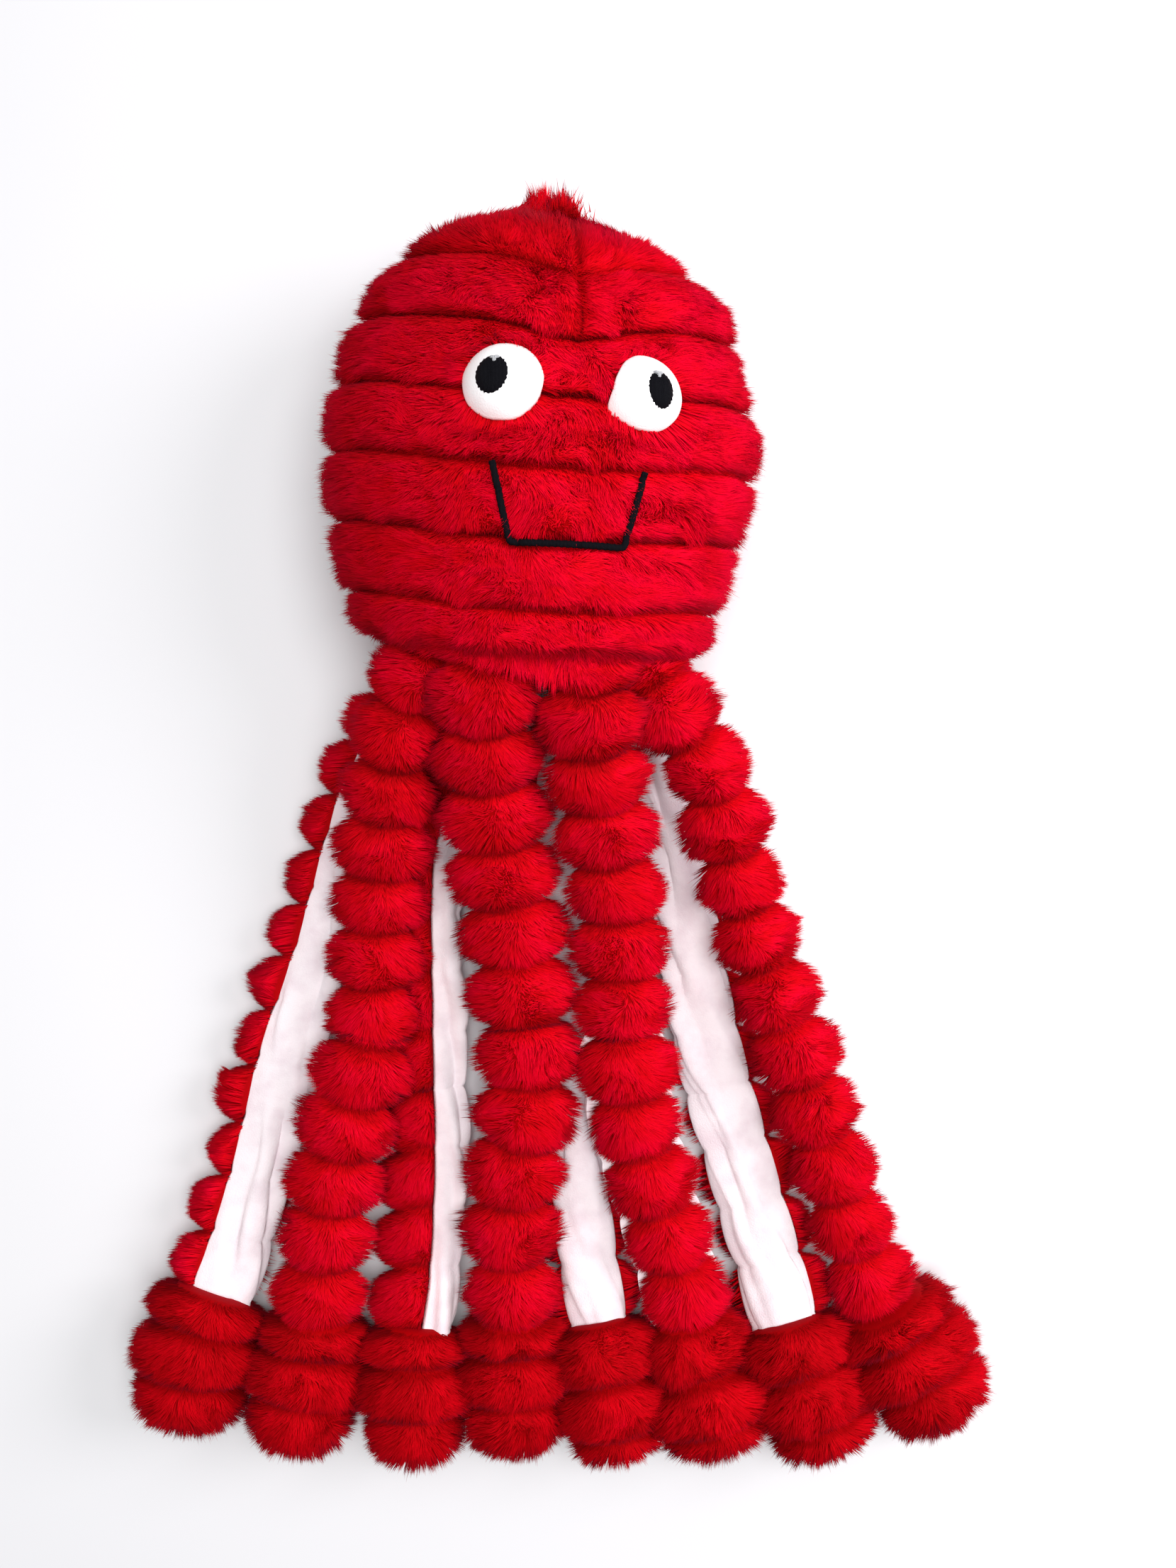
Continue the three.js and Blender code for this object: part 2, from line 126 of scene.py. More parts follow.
# layer says which row of legs a leg is in. path is its centre line, from its sewn-in tab to its toe.
# ribs is the way that its ribbed side faces in its cross-section, in degrees.
# widths are the half widths of its cloth at the head and at the boot, and slack is its lining's width over
# the ribs' there. boot widens its boot, and seams are the boot's own seams, if not BOOT_SEAMS.
# first is where its first whole rib starts, if not at FIRST_RIB.
LEGS = [
    {
        "layer": "back", "first": 26.0, "ribs": 228, "widths": (17.0, 19.0), "slack": (1.0, 1.0),
        "boot": 1.16,
        "path": [
            (-46, 8, 42), (-64, -17, 30), (-85, -50, 14), (-94, -75, 10), (-108, -126, 10),
            (-125.5, -178, 10), (-138, -232, 11), (-149.5, -272, 15), (-159, -300, BOOT_Z),
            (-168, -344, BOOT_Z),
        ],
    },
    {
        "layer": "front", "first": 25.0, "ribs": 90, "widths": (15.5, 17.0), "slack": (0.72, 0.72),
        "boot": 1.1,
        "path": [
            (-48, 12, 65), (-57, -10, 62), (-64.5, -34, 56), (-69.5, -60, 46), (-73, -86, 38),
            (-76, -113, 33), (-80, -165, 31), (-95, -222, 27), (-103, -270, 24),
            (-107, -304, BOOT_Z), (-116, -355, BOOT_Z),
        ],
    },
    {
        "layer": "back", "ribs": 180, "widths": (17.0, 18.0), "slack": (1.0, 1.0), "boot": 1.0,
        "path": [
            (-22, 8, 26), (-30, -18, 20), (-44, -45, 12), (-54, -80, 10), (-55, -160, 10),
            (-54, -226, 10), (-56, -278, 14), (-59, -308, BOOT_Z), (-60, -361, BOOT_Z),
        ],
    },
    {
        "layer": "front", "first": 6.0, "ribs": 86, "widths": (21.0, 15.0), "slack": (0.7, 1.05),
        "boot": 1.02,
        "path": [
            (-23, 12, 82), (-23, -12, 75), (-22, -39, 61), (-19, -67, 49), (-16, -94, 40),
            (-12, -120, 34), (-6, -176, 32), (-8, -206, 30), (-14, -236, 27), (-14, -280, 24),
            (-14, -304, BOOT_Z), (-12, -356, BOOT_Z),
        ],
    },
    {
        "layer": "back", "ribs": 270, "widths": (14.5, 14.0), "slack": (1.0, 1.05), "boot": 0.98,
        "seams": (0.46, 0.86),
        "path": [
            (20, 8, 26), (17, -18, 20), (11, -50, 11), (9, -99, 10), (13, -150, 10), (17, -205, 10),
            (17.5, -235, 10), (23, -280, 14), (28, -306, BOOT_Z), (37, -358, BOOT_Z),
        ],
    },
    {
        "layer": "front", "ribs": 80, "widths": (19.0, 14.6), "slack": (0.7, 1.35), "boot": 1.1,
        "seams": (0.47, 0.86),
        "path": [
            (22, 8, 82), (22.5, -18, 74), (26, -48, 58), (30, -71, 48), (34, -96, 40),
            (36, -125, 34), (39.5, -176, 32), (43.5, -203, 30), (52, -234, 27), (66, -282, 23),
            (70, -302, BOOT_Z), (83, -355, BOOT_Z),
        ],
    },
    {
        "layer": "back", "ribs": 290, "widths": (17.0, 18.0), "slack": (1.0, 1.0), "boot": 1.1,
        "seams": (0.4, 0.82),
        "path": [
            (47, 8, 42), (52, -16, 30), (56, -36, 18), (62, -65, 11), (68, -99, 10), (80, -167, 10),
            (98, -235, 11), (111, -280, 15), (117, -304, BOOT_Z), (135, -355, BOOT_Z),
        ],
    },
    {
        "layer": "front", "ribs": 90, "widths": (13.5, 14.8), "slack": (0.95, 0.8), "boot": 1.28,
        "path": [
            (46, 10, 64), (58, -12, 62), (75, -39, 55), (84, -66, 46), (92, -92, 39),
            (100, -117, 34), (117, -167, 30), (135, -220, 27), (152, -271, 23), (161, -292, BOOT_Z),
            (190, -342, BOOT_Z),
        ],
    },
]

# ---- pile ----
PILE = 8.0  # length of the plush's hairs
SEAM_PILE = 3.2  # how far they stand out of a seam
HAIR_WIDTH = 0.66
HAIR_ROOT = 0.4  # how deep a hair's root lies in the cloth
SHORTEST, SPREAD = 0.72, 0.44  # the shortest hair over the pile's length, and how much the others add at most
LONG_HAIRS, LONG_ADDS = 0.06, 0.2  # this share of the hairs stands further out of the pile, by so much
CLUMP = 20  # hairs in a clump that leans together
CLUMP_ADDS = 0.11  # how much a clump's hairs differ in length from the next clump's
GATHER = (0.05, 0.5)  # how far its hairs lean to its middle, from 0 to 1
COMBED, STRAY, APART = 2.9, 1.15, 1.2  # how far the tips lean: in broad waves, each hair, and each clump
TINT, TINT_NOISE = 0.66, 0.045  # a hair's place on the ramp of tints
TINT_PATCHES = ((0.07, 30), (0.09, 8))  # strength and wavelength of the patches in it
PAINTED_SEAM_SHADE = -0.45  # painted shade: added to the tint in a seam
BOOT_TINT = -0.34
PAINTED_SIDE_LIGHT, PAINTED_CROWN_SHADE = 0.15, -0.16  # painted light on the head's right side, towards the window, and painted shade on its crown
SPIKE_FACES = np.array([[0, 1, 3], [1, 2, 3], [2, 0, 3], [0, 2, 1]])  # a hair's root triangle, and its tip
SQUARENESS = {"head": (2.6, 8.0), "leg": (2.2, 2.5), "boot": (2.6, 3.4)}  # of the ribs' cloth and their pile
SEAM_REACH = {"head": 5.0, "leg": 8.0, "boot": 6.0}  # how far from a seam the pile is short and darkened with painted shade
WILD = {"head": 1.0, "base": 0.7, "leg": 0.6, "boot": 0.8}  # how unruly each pile is
HAIRS = {"base": 6000, "upper": 20000, "lower": 16000, "boot": 19000, "tuft": 900}
HANGING, HANGING_WAVE = 0.2, 0.14  # how far the pile hangs over the rim, in ribs, and how that varies
CROWN_COMB = 0.32  # how far the crown's pile is combed to the crown, in ribs
FLOOR_CLEARANCE = 0.4

# ---- camera ----
CAMERA = (22.0, -46.5, 600.0)  # it looks straight down
LENS = 28.0
LONG_SIDE = 36.0  # of the sensor


# ================================================================================ geometry helpers
def rim_middle():
    """The middle of the head's rim in the row frame, from the panel that closes the head's base."""
    low, high = (np.array(corner) * 1000 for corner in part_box("base_panel"))
    middle = (low + high) / 2
    return np.array([middle[0] + BASE_Y * math.sin(TURN), middle[1] - BASE_Y * math.cos(TURN), 0.0])


RIM = rim_middle()


def place(points):
    return (np.asarray(points, float) + RIM) / 1000


def unit(vectors):
    return vectors / np.maximum(np.linalg.norm(vectors, axis=-1, keepdims=True), 1e-9)


def smoothstep(low, high, value):
    x = np.clip((value - low) / (high - low), 0, 1)
    return x * x * (3 - 2 * x)


class Waves:
    """Smooth noise of about -1 to 1 with one typical wavelength: a sum of fixed sine waves."""

    def __init__(self, seed, wavelength, count=14):
        random = np.random.default_rng(seed)
        lengths = wavelength * random.uniform(0.65, 1.6, count)
        self.k = unit(random.normal(size=(count, 3))) * (2 * math.pi / lengths)[:, None]
        self.phase = random.uniform(0, 2 * math.pi, count)

    def __call__(self, points):
        return np.sin(points @ self.k.T + self.phase).sum(-1) * math.sqrt(1.1 / len(self.phase))


def grid_faces(rows, columns, closed):
    """Triangles of a grid of rows by columns, where closed joins the last column to the first."""
    i, j = np.meshgrid(np.arange(rows - 1), np.arange(columns if closed else columns - 1), indexing="ij")
    i, j = i.ravel(), j.ravel()
    k = (j + 1) % columns
    a, b, c, d = i * columns + j, i * columns + k, (i + 1) * columns + k, (i + 1) * columns + j
    return np.concatenate([np.stack([a, b, c], 1), np.stack([a, c, d], 1)])


def polar_grid(rows, columns, hole):
    """Grids of the share of the way out from a middle, which has a small hole, and of the angle round it."""
    turns = np.arange(columns) * 2 * math.pi / columns
    return np.meshgrid(np.linspace(hole, 1, rows), turns, indexing="ij")


def cap_faces(ring, middle, flip):
    a, b = ring, np.roll(ring, -1)
    return np.stack([b, a, np.full(len(ring), middle)] if flip else [a, b, np.full(len(ring), middle)], 1)


def vertex_normals(points, faces):
    corner = points[faces]
    face = np.cross(corner[:, 1] - corner[:, 0], corner[:, 2] - corner[:, 0])
    normals = np.zeros_like(points)
    for k in range(3):
        np.add.at(normals, faces[:, k], face)
    return unit(normals)


def lofted(rings):
    """A closed body through rings of points, with its ends closed by caps: points, faces."""
    rows, columns = rings.shape[:2]
    points = np.concatenate([rings.reshape(-1, 3), rings[0].mean(0)[None], rings[-1].mean(0)[None]])
    first, last = np.arange(columns), np.arange(columns) + (rows - 1) * columns
    faces = np.concatenate([
        grid_faces(rows, columns, True),
        cap_faces(first, rows * columns, True),
        cap_faces(last, rows * columns + 1, False),
    ])
    return points, outward(points, faces)


def outward(points, faces):
    """The faces, turned so that the closed body that they make has its faces outwards."""
    a, b, c = (points[faces[:, k]] for k in range(3))
    volume = np.einsum("ij,ij->i", a, np.cross(b, c)).sum()
    return faces if volume > 0 else faces[:, ::-1]


def mesh_object(name, points, faces, material, uv=None, normals=None):
    mesh = bpy.data.meshes.new(name)
    mesh.vertices.add(len(points))
    mesh.vertices.foreach_set("co", place(points).ravel())
    mesh.loops.add(3 * len(faces))
    mesh.loops.foreach_set("vertex_index", faces.ravel().astype(np.int32))
    mesh.polygons.add(len(faces))
    mesh.polygons.foreach_set("loop_start", np.arange(0, 3 * len(faces), 3, dtype=np.int32))
    mesh.polygons.foreach_set("use_smooth", np.ones(len(faces), bool))
    mesh.update(calc_edges=True)
    if uv is not None:
        layer = mesh.uv_layers.new(name="OFBake")
        layer.data.foreach_set("uv", uv[faces.ravel()].astype(np.float32).ravel())
    if normals is not None:
        mesh.normals_split_custom_set_from_vertices(normals)
    mesh.materials.append(material)
    made = bpy.data.objects.new(name, mesh)
    bpy.context.collection.objects.link(made)
    return made


# ================================================================================ materials
def material(name):
    made = bpy.data.materials.new(name)
    made.use_nodes = True
    nodes = made.node_tree.nodes
    return made, nodes, made.node_tree.links, nodes["Principled BSDF"]


def settings(node, values):
    for name, value in values.items():
        node.inputs[name].default_value = value


def ramp(nodes, stops):
    node = nodes.new("ShaderNodeValToRGB")
    elements = node.color_ramp.elements
    while len(elements) < len(stops):
        elements.new(0.5)
    for element, (position, colour) in zip(elements, stops):
        element.position = position
        element.color = (*colour, 1)
    return node


def plush_material():
    """Long pile. The UV map holds each hair's own tint along U, and the way up the hair along V."""
    made, nodes, links, shader = material("red_pile")
    split = nodes.new("ShaderNodeSeparateXYZ")
    links.new(nodes.new("ShaderNodeUVMap").outputs[0], split.inputs[0])
    nodes["UV Map"].uv_map = "OFBake"
    # along V each hair darkens from its tip to its root: painted shade among the hairs
    along = ramp(nodes, [
        (0.0, (0.46, 0.0, 0.003)), (0.4, (0.74, 0.0, 0.007)), (1.0, (0.93, 0.0, 0.015)),
    ])
    tint = ramp(nodes, [(0.0, (0.46, 0.2, 0.2)), (0.5, (0.82, 0.6, 0.6)), (1.0, (1.0, 1.6, 2.4))])
    links.new(split.outputs["Y"], along.inputs[0])
    links.new(split.outputs["X"], tint.inputs[0])
    mix = nodes.new("ShaderNodeMix")
    mix.data_type = "RGBA"
    mix.blend_type = "MULTIPLY"
    settings(mix, {"Factor": 1.0})
    links.new(along.outputs[0], mix.inputs["A"])
    links.new(tint.outputs[0], mix.inputs["B"])
    links.new(mix.outputs["Result"], shader.inputs["Base Color"])
    settings(shader, {
        "Roughness": 0.75, "Specular IOR Level": 0.04, "Sheen Weight": 0.07, "Sheen Roughness": 0.4,
        "Sheen Tint": (1.0, 0.06, 0.2, 1),
    })
    return made


def nap_material(name, light, shade, bump):
    """Short-pile plush: fine fibres, brushed patches and a soft sheen."""
    made, nodes, links, shader = material(name)
    place_node = nodes.new("ShaderNodeTexCoord")
    brushed, fibres = nodes.new("ShaderNodeTexNoise"), nodes.new("ShaderNodeTexNoise")
    for noise, scale, detail in ((brushed, 85, 4), (fibres, 1400, 3)):
        settings(noise, {"Scale": scale, "Detail": detail})
        links.new(place_node.outputs["Object"], noise.inputs["Vector"])
    colour = ramp(nodes, [(0.3, shade), (0.6, light)])
    links.new(brushed.outputs["Fac"], colour.inputs[0])
    links.new(colour.outputs[0], shader.inputs["Base Color"])
    height = nodes.new("ShaderNodeBump")
    settings(height, {"Strength": bump, "Distance": 0.0008})
    links.new(fibres.outputs["Fac"], height.inputs["Height"])
    links.new(height.outputs[0], shader.inputs["Normal"])
    settings(shader, {
        "Roughness": 0.85, "Specular IOR Level": 0.2, "Sheen Weight": 0.3, "Sheen Roughness": 0.5,
    })
    return made


def thread_material(name, dark, light, ridges):
    """Satin-stitched or twisted thread: fine parallel ridges with a dull shine."""
    made, nodes, links, shader = material(name)
    place_node = nodes.new("ShaderNodeTexCoord")
    wave = nodes.new("ShaderNodeTexWave")
    settings(wave, {"Scale": ridges, "Distortion": 2.5, "Detail": 3})
    links.new(place_node.outputs["Object"], wave.inputs["Vector"])
    colour = ramp(nodes, [(0.2, dark), (0.9, light)])
    links.new(wave.outputs["Fac"], colour.inputs[0])
    links.new(colour.outputs[0], shader.inputs["Base Color"])
    height = nodes.new("ShaderNodeBump")
    settings(height, {"Strength": 0.5, "Distance": 0.0005})
    links.new(wave.outputs["Fac"], height.inputs["Height"])
    links.new(height.outputs[0], shader.inputs["Normal"])
    settings(shader, {"Roughness": 0.75, "Specular IOR Level": 0.05})
    return made


PLUSH = plush_material()
LINING = nap_material("white_lining", (0.89, 0.82, 0.85), (0.79, 0.69, 0.735), 0.35)
EYE_WHITE = nap_material("eye_white", (0.94, 0.93, 0.935), (0.9, 0.86, 0.87), 0.25)
STUFFING = nap_material("stuffing_fibre", (0.95, 0.95, 0.93), (0.85, 0.85, 0.82), 0.6)
BLACK = thread_material("black_thread", (0.0015, 0.0015, 0.0025), (0.008, 0.008, 0.011), 900)
GREY = thread_material("grey_thread", (0.35, 0.36, 0.38), (0.62, 0.63, 0.65), 900)


# ================================================================================ pile
def facing_up(normals):
    """Less pile is needed where a surface faces the table."""
    return 0.3 + 0.7 * smoothstep(-0.6, 0.1, normals[:, 2])


def hairs(skin, count, seed):
    """Hairs from a skin to its tips' surface: thin closed spikes. Returns points, faces, UVs and normals.

    A skin has its points and faces and, for each point, its density of hairs, where their tips are, how near
    a seam it is (0 to 1), which shortens its hairs and darkens them with painted shade, and a shift of its
    hairs' tint, which on the head holds painted light on the right side and painted shade at the crown. wild
    is one number for the skin.
    """
    points, faces, normals = skin["points"], skin["faces"], skin["normals"]
    random = np.random.default_rng(seed)
    corner = points[faces]
    area = np.linalg.norm(np.cross(corner[:, 1] - corner[:, 0], corner[:, 2] - corner[:, 0]), axis=1)
    weight = area * (skin["density"] * facing_up(normals))[faces].mean(1)
    chosen = faces[random.choice(len(faces), count, p=weight / weight.sum())]
    share = random.dirichlet((1, 1, 1), count)

    def across(values):
        return np.einsum("ij,ij...->i...", share, values[chosen])

    root, normal, seam = across(points), unit(across(normals)), across(skin["seam"])[:, None]
    over = unit(across(vertex_normals(skin["tips"], faces)) + 0.01 * normal)
    combed = np.stack([Waves(seed + k, 20)(root) for k in (1, 2, 3)], 1)
    combed -= over * (combed * over).sum(1, keepdims=True)

    centres = random.choice(count, max(8, count // CLUMP), replace=False)
    tree = KDTree(len(centres))
    for index, centre in enumerate(centres):
        tree.insert(root[centre], index)
    tree.balance()
    clump = np.array([tree.find(point)[1] for point in root])
    nearest = centres[clump]

    longer = LONG_ADDS * (random.random(count) < LONG_HAIRS)
    longer = longer + CLUMP_ADDS * np.abs(random.normal(size=len(centres)))[clump]
    length = SHORTEST + SPREAD * random.beta(2.2, 2.2, count) + skin["wild"] * longer * (1 - seam[:, 0])
    reach = (across(skin["tips"]) - root) * length[:, None]
    stray = random.normal(scale=STRAY * skin["wild"], size=(count, 3))
    reach += combed * COMBED * (1 - seam) + stray * (1 - 0.7 * seam)
    gather = random.uniform(*GATHER, count)[:, None] * (1 - seam) * (1 - seam[nearest])
    tip = root + reach
    apart = random.normal(scale=APART * skin["wild"], size=(len(centres), 3))[clump]
    gathered = tip[nearest] + 0.2 * reach[nearest] + apart
    tip += (gathered - tip) * gather
    tip[:, 2] = np.maximum(tip[:, 2], FLOOR_CLEARANCE)
    heading = unit(tip - root)

    side = unit(np.cross(heading, normal + [0.01, 0.02, 0.03]))
    other = np.cross(heading, side)
    width = HAIR_WIDTH / math.sqrt(3) * random.uniform(0.75, 1.25, count)[:, None]
    low = root - normal * HAIR_ROOT
    spike = np.empty((count, 4, 3))
    for k in range(3):
        angle = 2 * math.pi * k / 3
        spike[:, k] = low + width * (math.cos(angle) * side + math.sin(angle) * other)
    spike[:, 3] = tip
    spike[:, :3, 2] = np.maximum(spike[:, :3, 2], FLOOR_CLEARANCE)

    patches = enumerate(TINT_PATCHES, start=4)
    broad = sum(Waves(seed + k, wavelength)(root) * strength for k, (strength, wavelength) in patches)
    # painted light and shade: the head's lit side and shaded crown, and the shade in the seams, shift the
    # tint
    broad += across(skin["tone_and_painted_light"]) + PAINTED_SEAM_SHADE * seam[:, 0] ** 2
    tint = np.clip(TINT + broad + random.normal(scale=TINT_NOISE, size=count), 0.02, 0.98)
    uv = np.empty((count, 4, 2))
    uv[:, :, 0] = tint[:, None]
    uv[:, :, 1] = [0.03, 0.03, 0.03, 0.97]
    soft = unit(over + 0.25 * heading + random.normal(scale=0.1, size=(count, 3)))
    faces = (np.arange(count)[:, None, None] * 4 + SPIKE_FACES).reshape(-1, 3)
    return spike.reshape(-1, 3), faces, uv.reshape(-1, 2), np.repeat(soft, 4, axis=0)


def plush(name, skin, count, seed):
    """A padded plush piece: its skin with its pile."""
    skin["normals"] = vertex_normals(skin["points"], skin["faces"])
    points, faces, uv, normals = hairs(skin, count, seed)
    skin_uv = np.tile([0.3, 0.12], (len(skin["points"]), 1))
    made = mesh_object(
        name,
        np.concatenate([skin["points"], points]),
        np.concatenate([skin["faces"], faces + len(skin["points"])]),
        PLUSH,
        np.concatenate([skin_uv, uv]),
        np.concatenate([skin["normals"], normals]),
    )
    return made


# ================================================================================ head
def crest(t):
    """Half width of the head at a place along it, in ribs from the rim."""
    knots = [rib + 0.5 for rib in range(RIBS - 1)] + [RIBS - 1.0]
    side = np.interp(t, knots, CRESTS[:-1] + [CRESTS[-1] + 6])
    rim = (CRESTS[0] - RIM_RADIUS) * np.clip(1 - 2 * t, 0, 1) ** 2.2
    crown = np.clip(t - (RIBS - 1), 0, 1)
    return (side - rim) * (1 - crown**1.5) ** 0.75


def bulge(share, power):
    """0 in a seam and 1 over the middle of a rib, from the share of the rib's width."""
    return (1 - np.abs(2 * share - 1) ** power) ** 0.55


def head_points(phi, t, inside=0.0, tips=False):
    """Points of the head, or of its pile's tips, at angles phi from the front and t ribs from the rim."""
    relief = np.where((t < 0.5) | (t > RIBS - 0.5), 1, bulge(t % 1, SQUARENESS["head"][tips]))
    depth = VALLEY_DEPTH + (PILE - SEAM_PILE if tips else 0)
    radius = np.maximum(crest(t) + (PILE if tips else 0) - depth * (1 - relief) - inside, 0)
    along = np.interp(t, np.arange(RIBS), SEAMS)
    along += np.maximum(t - (RIBS - 1), 0) * CROWN + np.minimum(t, 0) * RIB
    shift = np.interp(t, np.arange(RIBS) + 0.5, SHIFTS)
    x, front = radius * np.sin(phi), radius * np.cos(phi) / max(CRESTS)
    y = along - SAG * np.maximum(front, 0) ** 2 - SLANT * x
    z = AXIS_Z + FLATNESS * radius * np.cos(phi)
    facing = (front > 0) * np.clip(RIBS - t, 0, 1) ** 0.5
    dip = DART_DIP * smoothstep(FOREHEAD - 1.2, FOREHEAD, t) * facing
    y -= dip * np.exp(-(((x - DART_X) / DART_REACH) ** 2))
    groove = DART_GROOVE[tips] * smoothstep(FOREHEAD - 0.1, FOREHEAD + 0.05, t) * facing
    z = z - groove * np.exp(-(((x - DART_X) / DART_WIDTH) ** 2))
    give = FLAT_FROM - FLAT_AT
    z = np.where(z < FLAT_FROM, FLAT_AT + give * np.exp((z - FLAT_FROM) / give), z)
    c, s = math.cos(TURN), math.sin(TURN)
    x = x + shift * (1 - np.maximum(front, 0) ** 2)
    return np.stack([x * c - y * s, x * s + y * c, z], -1)


def head_skin(phi_low, phi_high, t_low, t_high):
    """One panel of the head, between two angles and two numbers of ribs, as a closed shell."""
    columns = max(12, int((phi_high - phi_low) / COLUMN_STEP))
    rows = int((t_high - t_low) * ROWS_PER_RIB) + 1
    lengths, angles = np.linspace(t_low, t_high, rows), np.linspace(phi_low, phi_high, columns)
    t, phi = np.meshgrid(lengths, angles, indexing="ij")
    outer, inner = head_points(phi, t), head_points(phi, t, PANEL)
    both = np.concatenate([outer.reshape(-1, 3), inner.reshape(-1, 3)])
    front = grid_faces(rows, columns, False)
    back = front[:, ::-1] + rows * columns
    edge = np.concatenate([
        np.arange(columns), np.arange(1, rows) * columns + columns - 1,
        np.arange(columns - 2, -1, -1) + (rows - 1) * columns, np.arange(rows - 2, 0, -1) * columns,
    ])
    after = np.roll(edge, -1)
    rim = np.concatenate([
        np.stack([after, edge, edge + rows * columns], 1),
        np.stack([after, edge + rows * columns, after + rows * columns], 1),
    ])
    faces = outward(both, np.concatenate([front, back, rim]))
    t = np.concatenate([t.ravel(), t.ravel()])
    phi = np.concatenate([phi.ravel(), phi.ravel()])
    outside = np.repeat([1.0, 0.0], rows * columns)
    from_seam = RIB * np.minimum(t % 1, 1 - t % 1)
    near = 1 - smoothstep(0, SEAM_REACH["head"], from_seam)
    near = np.where((t < 0.5) | (t > RIBS - 0.5), 0, near)
    dart = 1 - smoothstep(0, 3.5, np.abs(np.sin(phi) * crest(t) - DART_X))
    dart *= (t >= FOREHEAD) * (np.cos(phi) > 0)
    hanging = (HANGING + HANGING_WAVE * np.cos(3 * (phi - 0.12))) * (1 - smoothstep(0, 0.5, t))
    down = np.floor(t) + np.clip(t % 1 - 0.05, 0.01, 1)  # inside its rib, the pile is combed towards the rim
    combed = np.where((t > 0.5) & (t < RIBS - 1) & (t != np.floor(t)), down, t)
    combed = combed + CROWN_COMB * np.clip(t - (RIBS - 1), 0, 1)
    # painted shade on the crown, which faces away from the lamps
    crown = smoothstep(RIBS - 1.6, RIBS - 0.6, t)
    return {
        "points": both,
        "faces": faces,
        "density": outside,
        "tips": head_points(phi, combed - hanging, 0.0, True),
        # near a seam or the forehead's dart the pile is short and gets painted shade
        "seam": np.maximum(near, dart),
        # painted light on the right side and painted shade on the crown
        "tone_and_painted_light": PAINTED_SIDE_LIGHT * smoothstep(0.1, 0.8, np.sin(phi)) + PAINTED_CROWN_SHADE * crown,
        "wild": WILD["head"],
    }


def off_the_eyes(skin):
    """Clears the pile from under the eyes, and parts it around them."""
    points = skin["points"]
    for side, eye in EYES.items():
        away = points - eye_frame(side)[0]
        distance = np.linalg.norm(away, axis=1, keepdims=True)
        skin["density"] *= distance[:, 0] > eye["radius"] * EYE_CLEAR
        push = np.clip(EYE_PARTING * eye["radius"] - distance, 0, EYE_PUSH)
        skin["tips"] = skin["tips"] + unit(away) * push


def face_place(x, y):
    """The point and the outward normal of the ribs' crests on the front of the head."""
    def height(px, py):
        along = np.interp(py + SAG, SEAMS, np.arange(RIBS))
        return AXIS_Z + FLATNESS * math.sqrt(max(0, float(crest(along)) ** 2 - px * px))

    slope_x = (height(x + 1, y) - height(x - 1, y)) / 2
    slope_y = (height(x, y + 4) - height(x, y - 4)) / 8
    c, s = math.cos(TURN), math.sin(TURN)
    turned = np.array([[c, -s, 0], [s, c, 0], [0, 0, 1]])
    return turned @ [x, y, height(x, y)], turned @ unit(np.array([-slope_x, -slope_y, 1.0]))


def eye_frame(side):
    point, normal = face_place(*EYES[side]["at"])
    right = unit(np.cross([0, 1, 0], normal))
    return point, right, np.cross(normal, right), normal


def make_head():
    quarter = math.radians(90)
    dart = math.asin(DART_X / crest(FOREHEAD + 0.5))
    panels = {
        "face_plush_chin": ("face_panel", (-quarter, quarter, 0, 2), 36000),
        "face_plush_middle": ("face_panel", (-quarter, quarter, 2, 4), 38000),
        "face_plush_brow": ("face_panel", (-quarter, quarter, 4, FOREHEAD), 19000),
        "forehead_left_plush": ("forehead_left", (-quarter, dart, FOREHEAD, RIBS), 26000),
        "forehead_right_plush": ("forehead_right", (dart, quarter, FOREHEAD, RIBS), 18000),
        "head_back_plush": ("head_back", (quarter, 3 * quarter, 0, RIBS), 34000),
    }
    for seed, (name, (node, limits, count)) in enumerate(panels.items(), start=100):
        skin = head_skin(*limits)
        off_the_eyes(skin)
        piece = plush(name, skin, count, seed)
        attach(piece, "head")
        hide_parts(node)
    make_tuft()
    make_stuffing()
    make_base()


def make_tuft():
    """The pile that stands up where the forehead's seam ends at the crown."""
    count = HAIRS["tuft"]
    random = np.random.default_rng(7)
    across = random.normal(TUFT_X, 5.5, count)
    depth = AXIS_Z + random.normal(0, 8, count)
    root = np.stack([across, np.full(count, SEAMS[-1] + CROWN - TUFT_ROOT), depth], 1)
    reach = 8 * np.exp(-(((across - 9) / 8) ** 2)) + 5
    lean = random.normal(0, 2, count)
    rise = reach * random.uniform(0.7, 1.1, count)
    tip = root + np.stack([lean, rise, random.normal(0, 2, count)], 1)
    corners = np.arange(3) * 2 * math.pi / 3
    ring = np.stack([np.cos(corners), np.zeros(3), np.sin(corners)], 1) * HAIR_WIDTH / 1.6
    spike = np.concatenate([root[:, None] + ring[::-1], tip[:, None]], 1)
    faces = (np.arange(count)[:, None, None] * 4 + SPIKE_FACES).reshape(-1, 3)
    uv = np.tile([[0.5, 0.1], [0.5, 0.1], [0.5, 0.1], [0.5, 0.9]], (count, 1))
    piece = mesh_object("crown_tuft", spike.reshape(-1, 3), outward(spike.reshape(-1, 3), faces), PLUSH, uv)
    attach(piece, "head")


def make_stuffing():
    """The fibre in the head, pushed into lumps."""
    lengths, turns = np.linspace(1.0, RIBS - 0.35, 40), np.arange(64) * 2 * math.pi / 64
    t, phi = np.meshgrid(lengths, turns, indexing="ij")
    rings = head_points(phi, t, STUFFING_INSET)
    middle = rings.mean(1, keepdims=True)
    rings = middle + (rings - middle) * (1 - 0.035 * (1 + Waves(11, 22)(rings))[..., None])
    points, faces = lofted(rings)
    piece = mesh_object("head_fibre", points, faces, STUFFING)
    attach(piece, "head")
    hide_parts("head_stuffing")


